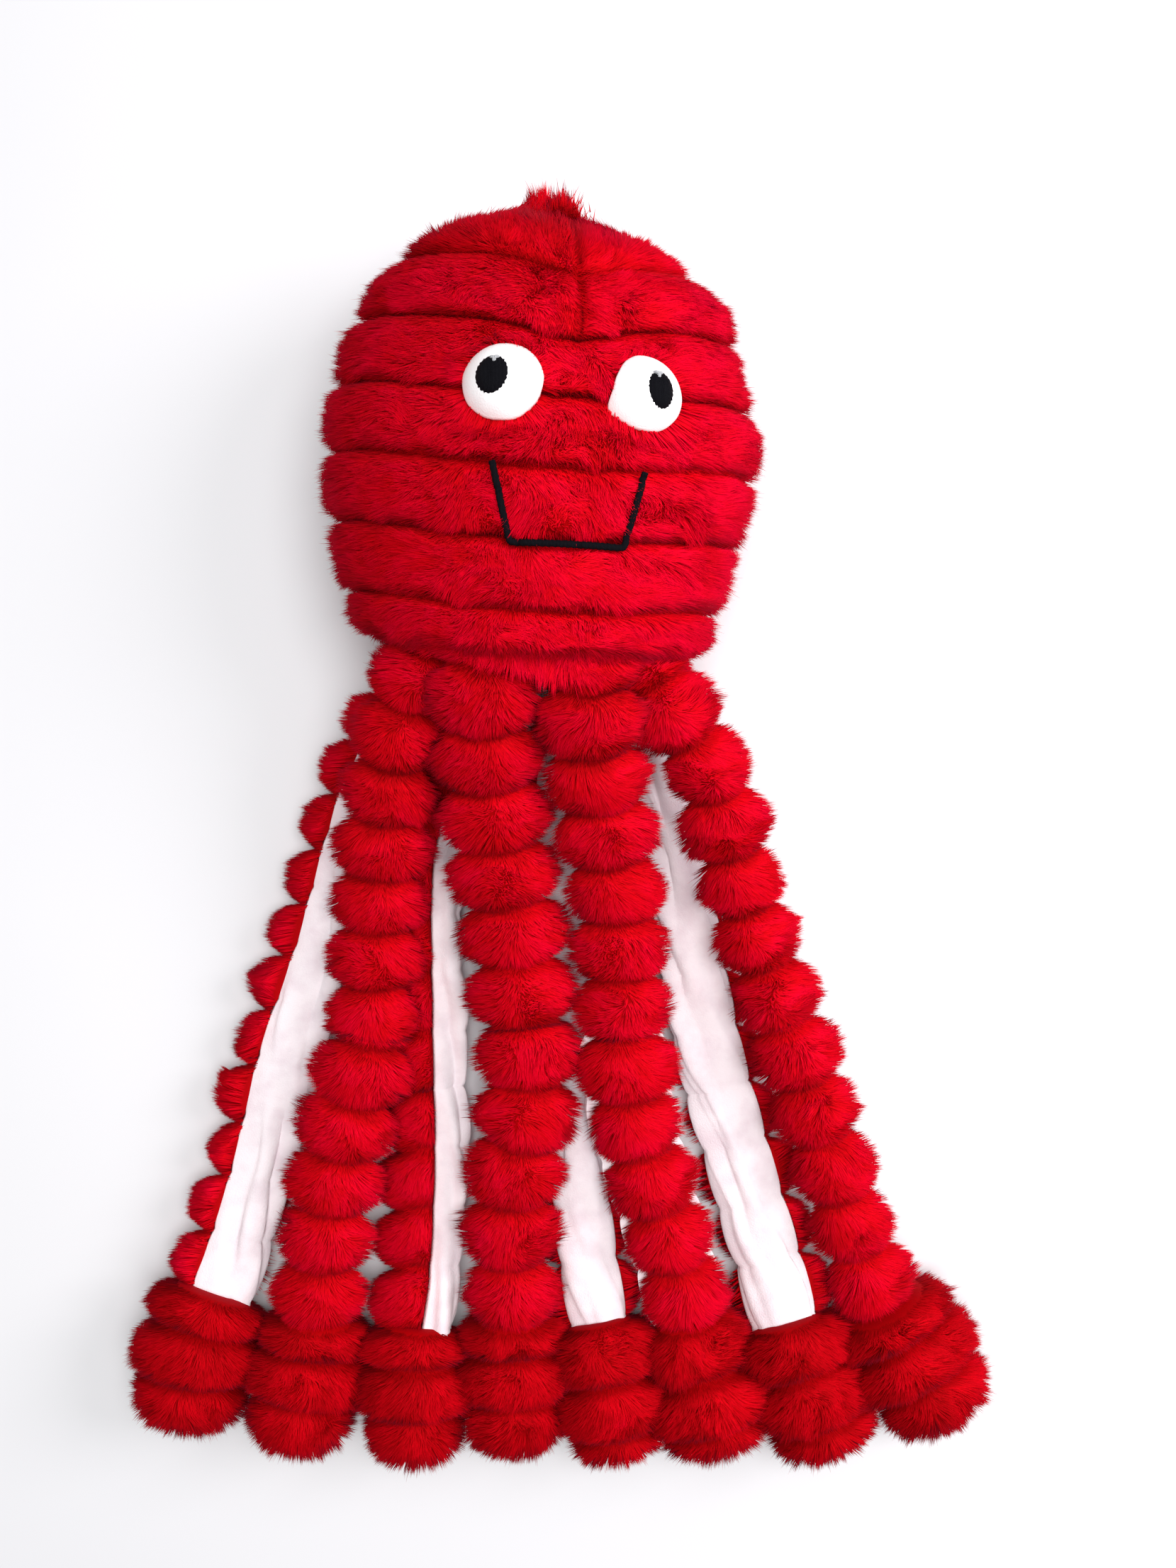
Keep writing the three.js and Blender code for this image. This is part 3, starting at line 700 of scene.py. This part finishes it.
def make_base():
    """The plush disc that closes the head behind the legs, gathered towards its middle."""
    share, phi = polar_grid(14, 96, 0.02)
    radius = BASE_RADIUS * share
    y = BASE_Y - 6 * (1 - share**2) + 1.2 * np.sin(phi * 24) * share * (1 - share) * 3
    low = np.stack([radius * np.sin(phi), y, AXIS_Z + FLATNESS * 0.9 * radius * np.cos(phi)], -1)
    high = low + [0, 5, 0]
    points, faces = lofted(np.concatenate([low, high[::-1]]))
    skin = {
        "points": points,
        "faces": faces,
        "density": (points[:, 1] < BASE_Y + 1.5).astype(float),
        "tips": points - [0, 6, 0],
        # the whole disc gets a little of a seam's short pile and painted shade
        "seam": np.full(len(points), 0.4),
        "tone_and_painted_light": np.zeros(len(points)),
        "wild": WILD["base"],
    }
    piece = plush("base_plush", skin, HAIRS["base"], 61)
    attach(piece, "head")
    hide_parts("base_panel")


# ================================================================================ face
def make_eye(side, eye):
    """A padded white dome with a stitched pupil and a glint."""
    middle, right, up, normal = eye_frame(side)
    radius = eye["radius"]
    dome = (radius**2 + EYE_HEIGHT**2) / (2 * EYE_HEIGHT)
    rim = math.asin(min(1, radius / dome))

    def outline(angle):
        """The eye's rim: nearly round, with one side drawn in under the pile of the nose."""
        lean = np.cos(angle - NIP_SIDE)
        corner = np.exp(-(((angle - NIP_CORNER) / 0.3) ** 2))
        ripple = 0.012 * np.sin(5 * angle + 1) + 0.008 * np.sin(9 * angle)
        return 1 - eye["nip"] * (np.clip(lean, 0, 1) ** 2.2 - 0.75 * corner) + ripple

    share, angle = polar_grid(26, 72, 0.02)
    polar = rim * share * outline(angle)
    x, y = dome * np.sin(polar) * np.cos(angle), dome * np.sin(polar) * np.sin(angle)
    height = dome * np.cos(polar) - dome + EYE_HEIGHT + EYE_LIFT
    top = middle + x[..., None] * right + y[..., None] * up + height[..., None] * normal
    pucker = 0.35 * np.sin(angle[-1] * 26) + 0.2 * np.sin(angle[-1] * 41)
    skirt = top[-1] - normal * 3.5 - unit(top[-1] - middle) * (0.8 + 0.3 * pucker[:, None])
    under = middle + (skirt - middle) * 0.5
    points, faces = lofted(np.concatenate([top, skirt[None], under[None]]))
    white = mesh_object(f"eye_{side}_white", points, faces, EYE_WHITE)
    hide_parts(f"eye_{side}")

    def patch(centre, size, lift, lean, corners=0, count=64):
        """A stitched patch that lies on the dome: an oval, or a shape with a few corners."""
        share, turn = polar_grid(10, count, 0.03)
        ragged = 1 + 0.03 * np.sin(turn * 23) + 0.02 * np.sin(turn * 37 + 1)
        if corners:
            ragged = ragged * (0.72 + 0.28 * np.cos(corners * (turn - math.pi / 2)))
        x = size[0] * share * ragged * np.cos(turn)
        y = size[1] * share * ragged * np.sin(turn)
        c, s = math.cos(math.radians(lean)), math.sin(math.radians(lean))
        x, y = x * c - y * s + centre[0], x * s + y * c + centre[1]
        rise = lift * (1 - share**6)[..., None] + 0.12 * np.sin(x * 9)[..., None] * (share < 0.97)[..., None]
        flat = np.hypot(x, y)[..., None]
        height = np.sqrt(dome**2 - flat**2) - dome + EYE_HEIGHT + EYE_LIFT
        upper = middle + x[..., None] * right + y[..., None] * up + (height + rise) * normal
        return lofted(np.concatenate([upper, (upper - normal * 0.9)[::-1]]))

    pupil = mesh_object(f"pupil_{side}_stitched", *patch(eye["pupil"], eye["size"], 0.9, eye["lean"]), BLACK)
    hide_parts(f"pupil_{side}")
    spot = (eye["pupil"][0] + 1.2 * (1 if side == "left" else -1), eye["pupil"][1] + eye["size"][1] * 0.78)
    glint = mesh_object(f"glint_{side}", *patch(spot, (2.4, 2.1), 1.5, 180, corners=3, count=36), GREY)
    for piece in (white, pupil, glint):
        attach(piece, "head")


def make_mouth():
    """The mouth: a black twisted cord laid over the ribs and couched down, so it dips at each stitch."""
    route = []
    for start, end in zip(MOUTH, MOUTH[1:]):
        for share in np.linspace(0, 1, 40, endpoint=False):
            x, y = (1 - share) * np.array(start) + share * np.array(end)
            point, normal = face_place(x, y)
            route.append((point, normal))
    route.append(face_place(*MOUTH[-1]))
    spine = np.array([point for point, _ in route])
    normals = np.array([normal for _, normal in route])
    for _ in range(3):
        spine[1:-1] = (spine[:-2] + 2 * spine[1:-1] + spine[2:]) / 4
    along = np.concatenate([[0], np.cumsum(np.linalg.norm(np.diff(spine, axis=0), axis=1))])
    fine = np.arange(0, along[-1], 0.35)
    spine = np.stack([np.interp(fine, along, spine[:, k]) for k in range(3)], 1)
    normals = unit(np.stack([np.interp(fine, along, normals[:, k]) for k in range(3)], 1))
    tangent = unit(np.gradient(spine, axis=0))
    across = unit(np.cross(tangent, normals))
    lift = np.interp(fine, [0.6 * along[-1], 0.75 * along[-1]], MOUTH_LIFT)
    rise = lift + 0.5 * np.sin(fine / 7) - 1.2 * np.exp(-(((fine % 23) - 11.5) ** 2) / 2)
    middle = spine + normals * rise[:, None]
    turn = np.arange(12) * 2 * math.pi / 12
    ply = 1 + 0.09 * np.sin(fine[:, None] * 2.6 + turn * 3) + 0.04 * np.sin(fine[:, None] * 9 - turn * 2)
    ring = middle[:, None] + CORD_RADIUS * ply[..., None] * (
        np.cos(turn)[None, :, None] * across[:, None] + 0.8 * np.sin(turn)[None, :, None] * normals[:, None]
    )
    piece = mesh_object("mouth_cord_black", *lofted(ring), BLACK)
    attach(piece, "head")
    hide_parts("mouth_cord")


# ================================================================================ legs
class CentreLine:
    """A leg's centre line, measured in millimetres from its tab, with its sideways and upward directions."""

    def __init__(self, path):
        knots = np.array(path, float)
        ends = np.vstack([2 * knots[0] - knots[1], knots, 2 * knots[-1] - knots[-2]])
        pieces = []
        u = np.linspace(0, 1, 40, endpoint=False)[:, None]
        for a, b, c, d in zip(ends, ends[1:], ends[2:], ends[3:]):
            before, span, after = (math.sqrt(np.linalg.norm(q - p)) for p, q in ((a, b), (b, c), (c, d)))
            leave = ((b - a) / before - (c - a) / (before + span) + (c - b) / span) * span
            arrive = ((c - b) / span - (d - b) / (span + after) + (d - c) / after) * span
            square, cube = 3 * (c - b) - 2 * leave - arrive, 2 * (b - c) + leave + arrive
            pieces.append(b + leave * u + square * u**2 + cube * u**3)
        self.points = np.concatenate(pieces + [knots[-1:]])
        self.along = np.concatenate([[0], np.cumsum(np.linalg.norm(np.diff(self.points, axis=0), axis=1))])
        self.length = self.along[-1]
        self.tangents = unit(np.gradient(self.points, self.along, axis=0))

    def at(self, distance):
        tangent = unit(np.stack([np.interp(distance, self.along, self.tangents[:, k]) for k in range(3)], -1))
        inside = np.clip(distance, 0, self.length)
        point = np.stack([np.interp(inside, self.along, self.points[:, k]) for k in range(3)], -1)
        point = point + tangent * (distance - inside)[..., None]
        sideways = unit(np.cross([0, 0, 1], tangent))
        return point, sideways, np.cross(tangent, sideways), tangent


class Leg:
    def __init__(self, number, layer, ribs, widths, slack, boot, path, first=FIRST_RIB, seams=BOOT_SEAMS):
        self.name = f"leg_{number}"
        self.number = number
        self.facing = math.radians(ribs)
        self.widths = widths
        self.slack = slack
        self.line = CentreLine(path)
        self.ankle = self.line.length - BOOT_LENGTH
        self.first = first
        self.pitch = (self.ankle - first) / LEG_RIBS
        self.knee = FIRST_RIB + (self.ankle - FIRST_RIB) * KNEE_AFTER[layer] / LEG_RIBS
        random = np.random.default_rng(500 + number)
        self.fullness = random.uniform(*FULLNESS, LEG_RIBS + len(BOOT_WIDTHS))
        self.boot_seams = np.array([0.0, *seams, 1.0])
        self.boot_widths = np.array(BOOT_WIDTHS) * boot * self.fullness[LEG_RIBS:]
        self.joints = {"hip": FIRST_RIB, "knee": self.knee, "ankle": self.ankle}

    def half_sizes(self, distance):
        share = np.clip((distance - FIRST_RIB) / (self.ankle - FIRST_RIB), 0, 1)
        width = self.widths[0] + (self.widths[1] - self.widths[0]) * share
        opened = smoothstep(FIRST_RIB - 13, FIRST_RIB + 4, distance)
        neck = max(NECK[0], 0.92 * self.widths[0])
        return neck + (width - neck) * opened, NECK[1] + (HALF_HEIGHT - NECK[1]) * opened

    def ribbed(self, t, pinch, power):
        """The leg's width in its ribs and seams, over its usual width, t ribs from its first seam."""
        rib = np.clip(np.floor(t).astype(int), 0, LEG_RIBS - 1)
        return (pinch + (1 - pinch) * bulge(t % 1, power)) * self.fullness[rib]

    def plush_skin(self, start, end):
        """The ribbed side of the leg between two distances: a half tube with pile on its round side."""
        rows, arc = int((end - start) / RIBS_STEP), 22
        distance = np.linspace(start, end, rows)[:, None]
        turn = np.linspace(-math.radians(HALF_TURN), math.radians(HALF_TURN), arc)[None, :]
        bowed = distance - BOW * np.cos(turn) ** 2
        t = (bowed - self.first) / self.pitch
        width, height = self.half_sizes(bowed)
        full = self.ribbed(t, PINCH, SQUARENESS["leg"][0])
        angle = self.facing + turn
        ring = self.around(distance + 0 * turn, width * full * np.cos(angle), height * full * np.sin(angle))
        points, faces = lofted(ring)
        outer = width + PILE
        full = self.ribbed(t, (width * PINCH + SEAM_PILE) / outer, SQUARENESS["leg"][1])
        leaning = distance + OVERHANG + 0 * turn
        tips = self.around(leaning, outer * full * np.cos(angle), (height + PILE) * full * np.sin(angle))
        inner = np.abs(turn) < math.radians(HALF_TURN - 2)
        # near a seam the pile is short and gets painted shade
        near = 1 - smoothstep(0, SEAM_REACH["leg"], self.pitch * np.minimum(t % 1, 1 - t % 1))
        return {
            "points": points,
            "faces": faces,
            "density": np.concatenate([(inner & (bowed > FIRST_RIB - 14)).astype(float).ravel(), [0, 0]]),
            "tips": np.concatenate([tips.reshape(-1, 3), points[-2:]]),
            "seam": np.concatenate([near.ravel(), [0, 0]]),
            "tone_and_painted_light": np.zeros(len(points)),
            "wild": WILD["leg"],
        }

    def around(self, distance, side, height):
        """Points beside the centre line, none of them below the table."""
        point, sideways, up, _ = self.line.at(distance)
        points = point + side[..., None] * sideways + height[..., None] * up
        points[..., 2] = np.maximum(points[..., 2], FLOOR_CLEARANCE + 0.3)
        return points

    def lining_body(self, start, end):
        """The white side of the leg: a slack half tube with creases along it."""
        rows, arc = int((end - start) / LINING_STEP), 30
        distance = np.linspace(start, end, rows)[:, None]
        edge = HALF_TURN + 0.5
        turn = np.linspace(math.radians(edge), math.radians(360 - edge), arc)[None, :]
        width, height = self.half_sizes(distance)
        angle = self.facing + turn
        share = (distance - FIRST_RIB) / (self.ankle - FIRST_RIB)
        slack = self.slack[0] + (self.slack[1] - self.slack[0]) * smoothstep(0.4, 0.6, share)
        slack = slack * (0.6 + 0.4 * smoothstep(0.02, 0.14, share))
        puckered = 0.88 + 0.12 * bulge((share * LEG_RIBS) % 1, 2.0)  # the ribs' seams gather the edges
        flat = slack * puckered * width * np.cos(angle), LINING_HEIGHT * height * np.sin(angle)
        ring = self.around(distance + 0 * turn, *flat)
        across = turn * width * 1.7 + distance * 0.3
        sheet = np.stack([distance * 0.3 + 0 * turn, across, np.full(across.shape, 90.0 * self.number)], -1)
        crease = Waves(900 + self.number, 30)(sheet) + 0.35 * Waves(950 + self.number, 15)(sheet)
        middle = smoothstep(0, 0.22, (turn - turn[0, 0]) / (turn[0, -1] - turn[0, 0]))
        middle = middle * middle[:, ::-1]
        centre = ring.mean(1, keepdims=True)
        ring = ring + unit(ring - centre) * (crease * CREASE * middle)[..., None]
        ring[..., 2] = np.maximum(ring[..., 2], FLOOR_CLEARANCE)
        points, faces = lofted(ring)
        sides = outward(points, grid_faces(rows, arc, True))
        normals = vertex_normals(points, sides)  # the caps at the seams do not shade the cloth
        normals[-2:] = [0, 0, 1]
        return points, faces, normals

    def boot_skin(self):
        """The boot: a closed body with three ribs, of which the last one closes as its toe."""
        rows, columns = 60, 48
        share = np.linspace(0, 1, rows)[:, None]
        turn = (np.arange(columns) * 2 * math.pi / columns)[None, :]
        distance = self.ankle + BOOT_LENGTH * share - BOW * np.sin(turn) * np.sin(math.pi * share)
        starts, ends = self.boot_seams[:-1], self.boot_seams[1:]
        rib = np.clip(np.searchsorted(ends, share), 0, len(ends) - 1)
        along = (share - starts[rib]) / (ends[rib] - starts[rib])
        toe = (rib == len(ends) - 1) & (along > TOE_FROM)
        into_toe = np.clip(along - TOE_FROM, 0, 1) / (1 - TOE_FROM)
        closing = np.sqrt(np.clip(1 - into_toe**2.4, 0.02, 1))
        width = self.boot_widths[rib]
        cloth, pile = (bulge(along, power) for power in SQUARENESS["boot"])
        inner = width * np.where(toe, closing, BOOT_PINCH + (1 - BOOT_PINCH) * cloth)
        valley = (BOOT_PINCH * width + SEAM_PILE) / (width + PILE)
        outer = (width + PILE) * np.where(toe, closing, valley + (1 - valley) * pile)
        ring = self.around(distance, inner * np.cos(turn), BOOT_FLATNESS * inner * np.sin(turn))
        points, faces = lofted(ring)
        reach = distance + 1.0 + 6.5 * np.where(toe, into_toe, 0)
        tips = self.around(reach, outer * np.cos(turn), BOOT_FLATNESS * outer * np.sin(turn))
        # near a seam the pile is short and gets painted shade
        from_seam = BOOT_LENGTH * np.minimum(share - starts[rib], ends[rib] - share)
        near = np.where(toe, 0, 1 - smoothstep(0, SEAM_REACH["boot"], from_seam)) + 0 * turn
        toe_tip = points[-1] + self.line.at(np.array([self.line.length]))[3][0] * PILE
        return {
            "points": points,
            "faces": faces,
            "density": np.concatenate([(share + 0 * turn > 0.02).astype(float).ravel(), [0.0, 1.0]]),
            "tips": np.concatenate([tips.reshape(-1, 3), points[-2:-1], toe_tip[None]]),
            "seam": np.concatenate([near.ravel(), [0.0, 0.0]]),
            "tone_and_painted_light": np.full(len(points), BOOT_TINT),
            "wild": WILD["boot"],
        }

    def blended(self, piece, joint):
        """Bakes the piece's placement into its mesh. It looks up the joint on the centre line, but nothing
        bends the piece there.
        """
        points, _, _, tangents = self.line.at(np.array([self.joints[joint]]))
        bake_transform(piece)

    def make(self):
        name = self.name
        split = self.knee - self.pitch  # the seam between the two pieces lies one rib above the knee
        upper_skin = self.plush_skin(-5.0, split)
        upper = plush(f"{name}_upper_plush", upper_skin, HAIRS["upper"], 1000 + self.number)
        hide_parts(f"{name}_tab", f"{name}_upper_ribs")
        lower_skin = self.plush_skin(split, self.ankle + 3)
        lower = plush(f"{name}_lower_plush", lower_skin, HAIRS["lower"], 1100 + self.number)
        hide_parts(f"{name}_lower_ribs")
        boot = plush(f"{name}_boot_plush", self.boot_skin(), HAIRS["boot"], 1200 + self.number)
        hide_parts(f"{name}_boot")
        linings = {"upper": (FIRST_RIB - 2, split), "lower": (split, self.ankle + 6)}
        for part, (start, end) in linings.items():
            points, faces, normals = self.lining_body(start, end)
            piece = mesh_object(f"{name}_{part}_white", points, faces, LINING, normals=normals)
            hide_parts(f"{name}_{part}_lining")
            if part == "upper":
                self.blended(piece, "hip")
            else:
                self.blended(piece, "knee")
        self.blended(upper, "hip")
        self.blended(lower, "knee")
        self.blended(boot, "ankle")


# ================================================================================ stage
def add_light(name, position, size, power, colour=(1, 1, 1)):
    data = bpy.data.lights.new(name, "AREA")
    data.shape = "DISK"
    data.size = size
    data.energy = power
    data.color = colour
    light = bpy.data.objects.new(name, data)
    light.location = position
    bpy.context.collection.objects.link(light)
    aim = light.constraints.new("TRACK_TO")
    aim.target = light_target()
    aim.track_axis = "TRACK_NEGATIVE_Z"
    aim.up_axis = "UP_Y"


def light_target():
    target = bpy.data.objects.get("light_target")
    if target is None:
        target = bpy.data.objects.new("light_target", None)
        bpy.context.collection.objects.link(target)
    return target


def make_stage():
    size = 3.0
    mesh = bpy.data.meshes.new("floor")
    corners = [(-size, -size), (size, -size), (size, size), (-size, size)]
    mesh.from_pydata([(x, y, 0.0) for x, y in corners], [], [(0, 1, 2, 3)])
    paper, nodes, links, shader = material("floor_paper")
    grain = nodes.new("ShaderNodeTexNoise")
    settings(grain, {"Scale": 12})
    colour = ramp(nodes, [(0.3, (0.755, 0.755, 0.775)), (0.7, (0.775, 0.775, 0.79))])
    links.new(grain.outputs["Fac"], colour.inputs[0])
    links.new(colour.outputs[0], shader.inputs["Base Color"])
    settings(shader, {"Roughness": 0.7})
    mesh.materials.append(paper)
    floor = bpy.data.objects.new("floor", mesh)
    bpy.context.collection.objects.link(floor)

    world = bpy.data.worlds.new("studio")
    world.use_nodes = True
    settings(world.node_tree.nodes["Background"], {"Color": (0.98, 0.99, 1.0, 1), "Strength": 0.32})
    bpy.context.scene.world = world
    bpy.context.scene.view_settings.view_transform = "Standard"
    add_light("overhead", (0.22, 0.17, 1.6), 1.2, 25)
    add_light("window", (1.3, 0.4, 1.0), 0.9, 16, (1.0, 0.95, 0.98))


def make_camera():
    data = bpy.data.cameras.new("camera")
    data.lens = LENS
    data.sensor_fit = "AUTO"
    data.sensor_width = LONG_SIDE
    camera = bpy.data.objects.new("camera", data)
    camera.location = place(CAMERA)
    bpy.context.collection.objects.link(camera)
    bpy.context.scene.camera = camera


# ================================================================================ the toy
make_camera()
make_stage()
make_head()
for side_name, eye_shape in EYES.items():
    make_eye(side_name, eye_shape)
make_mouth()
for leg_number, shape in enumerate(LEGS, start=1):
    Leg(leg_number, **shape).make()
